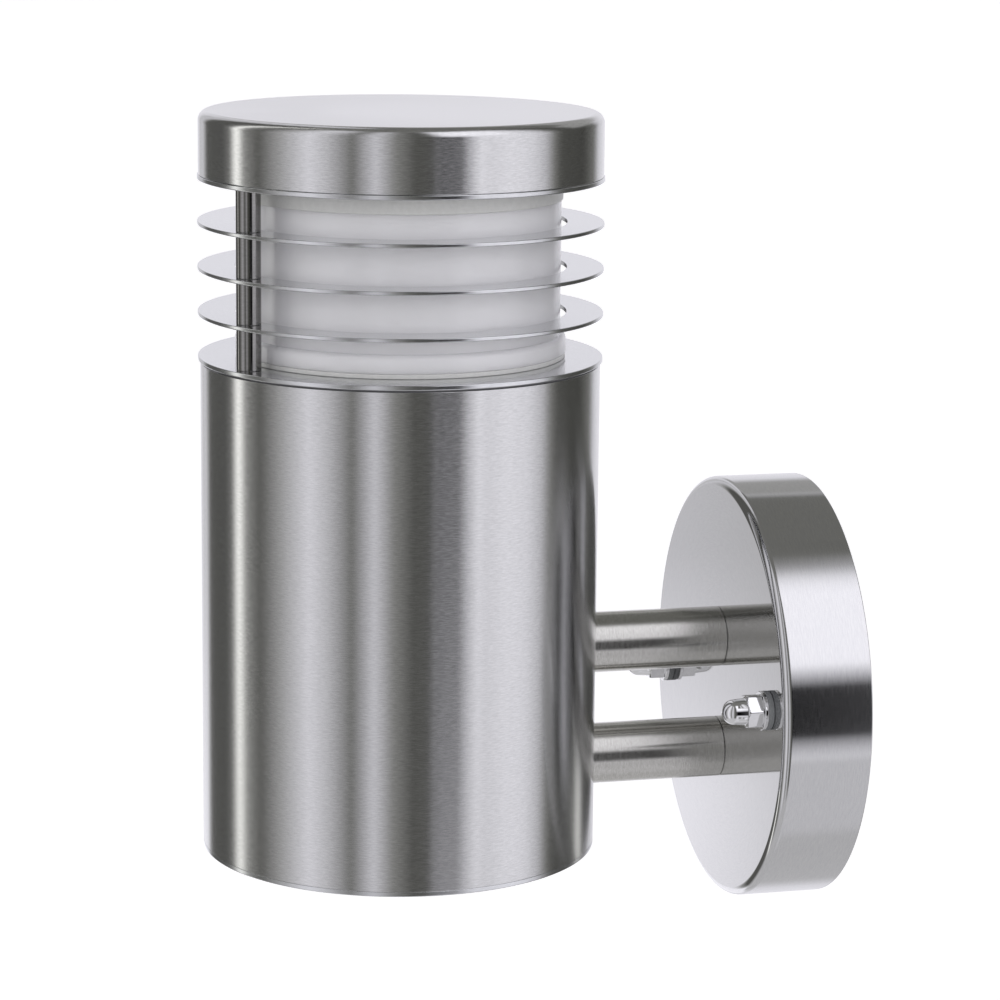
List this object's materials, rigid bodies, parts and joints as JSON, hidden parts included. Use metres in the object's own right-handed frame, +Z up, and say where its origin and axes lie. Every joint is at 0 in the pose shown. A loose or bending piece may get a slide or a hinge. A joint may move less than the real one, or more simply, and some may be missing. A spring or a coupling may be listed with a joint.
{
  "type": "tube wall light",
  "caption": "Stainless steel wall light: a brushed tube on short arms off a round wall plate, with a louvred head round an opal diffuser under a flat cap.",
  "frame": {"origin": "middle of the wall plate's back, on the face of the wall", "axes": "+Y into the wall, +Z up, the lamp stands towards -Y and its axis is parallel to Z"},
  "size_m": [0.1112, 0.1614, 0.209],
  "materials": {
    "brushed_stainless": "brushed round its circumference",
    "plate_stainless": "drawn sheet, face polished, rim brushed round",
    "satin_stainless": "fine satin, edges bright",
    "arm_stainless": "brushed round its circumference",
    "polished_stainless": "polished bright",
    "turned_stainless": "turned, darkened by its heat treatment",
    "zinc_plated_steel": "zinc plated, slightly dull",
    "brass": "plain turned brass",
    "nickelled_brass": "thin nickel over brass",
    "cast_aluminium": "turned casting",
    "opal_plastic": "opal, smooth",
    "black_rubber": "matt",
    "grey_rubber": "matt",
    "clear_silicone": "milky, smooth",
    "white_porcelain": "glazed",
    "white_plastic": "moulded, fine grain",
    "black_glass": "smooth, shiny",
    "live_sheath": "extruded",
    "neutral_sheath": "extruded",
    "earth_sheath": "extruded, green with a yellow stripe"
  },
  "bodies": {
    "body": {"wall_bracket": "zinc_plated_steel", "bracket_studs": "zinc_plated_steel", "wall_gasket": "black_rubber", "wall_plate": "plate_stainless", "sealing_washers": "grey_rubber", "plain_washers": "polished_stainless", "dome_nuts": "polished_stainless", "terminal_block": "white_plastic", "terminal_screws": "brass", "block_screw": "zinc_plated_steel", "lower_arm": "arm_stainless", "upper_arm": "arm_stainless", "arm_pipes": "zinc_plated_steel", "plate_nuts": "zinc_plated_steel", "body_nuts": "zinc_plated_steel", "wire_bushes": "white_plastic", "body_tube": "brushed_stainless", "base_plate": "satin_stainless", "lamp_bracket": "zinc_plated_steel", "earth_lug": "brass", "earth_screw": "zinc_plated_steel", "holder_pipe": "zinc_plated_steel", "holder_nuts": "zinc_plated_steel", "lampholder": "white_porcelain", "screw_shell": "nickelled_brass", "centre_contact": "brass", "live_wire": "live_sheath", "neutral_wire": "neutral_sheath", "earth_wire": "earth_sheath"},
    "head": {"head_gasket": "black_rubber", "plug_ring": "cast_aluminium", "top_plate": "satin_stainless", "louvre_ring_1": "satin_stainless", "louvre_ring_2": "satin_stainless", "louvre_ring_3": "satin_stainless", "spacers_1": "turned_stainless", "spacers_2": "turned_stainless", "spacers_3": "turned_stainless", "spacers_4": "turned_stainless", "tie_rods": "zinc_plated_steel", "rod_nuts": "zinc_plated_steel", "foot_gasket": "clear_silicone", "diffuser": "opal_plastic", "upper_gasket": "clear_silicone", "cap_plate": "satin_stainless", "cap": "brushed_stainless"},
    "lamp": {"lamp_cap": "nickelled_brass", "lamp_contact": "nickelled_brass", "lamp_insulator": "black_glass", "lamp_housing": "white_plastic", "lamp_board": "cast_aluminium", "lamp_dome": "opal_plastic"},
    "lock_screw": {"lock_screw": "zinc_plated_steel"}
  },
  "joints": [
    {"name": "head_lift", "type": "slide", "parent": "body", "child": "head", "axis": [0, 0, 1], "range_m": [0, 0.055]},
    {"name": "lamp_turn", "type": "hinge", "parent": "body", "child": "lamp", "pos_m": [0, -0.11, 0], "axis": [0, 0, 1], "range_deg": [0, 1800]},
    {"name": "lock_screw_slide", "type": "slide", "parent": "body", "child": "lock_screw", "axis": [0, 1, 0], "range_m": [0, 0.002]}
  ]
}
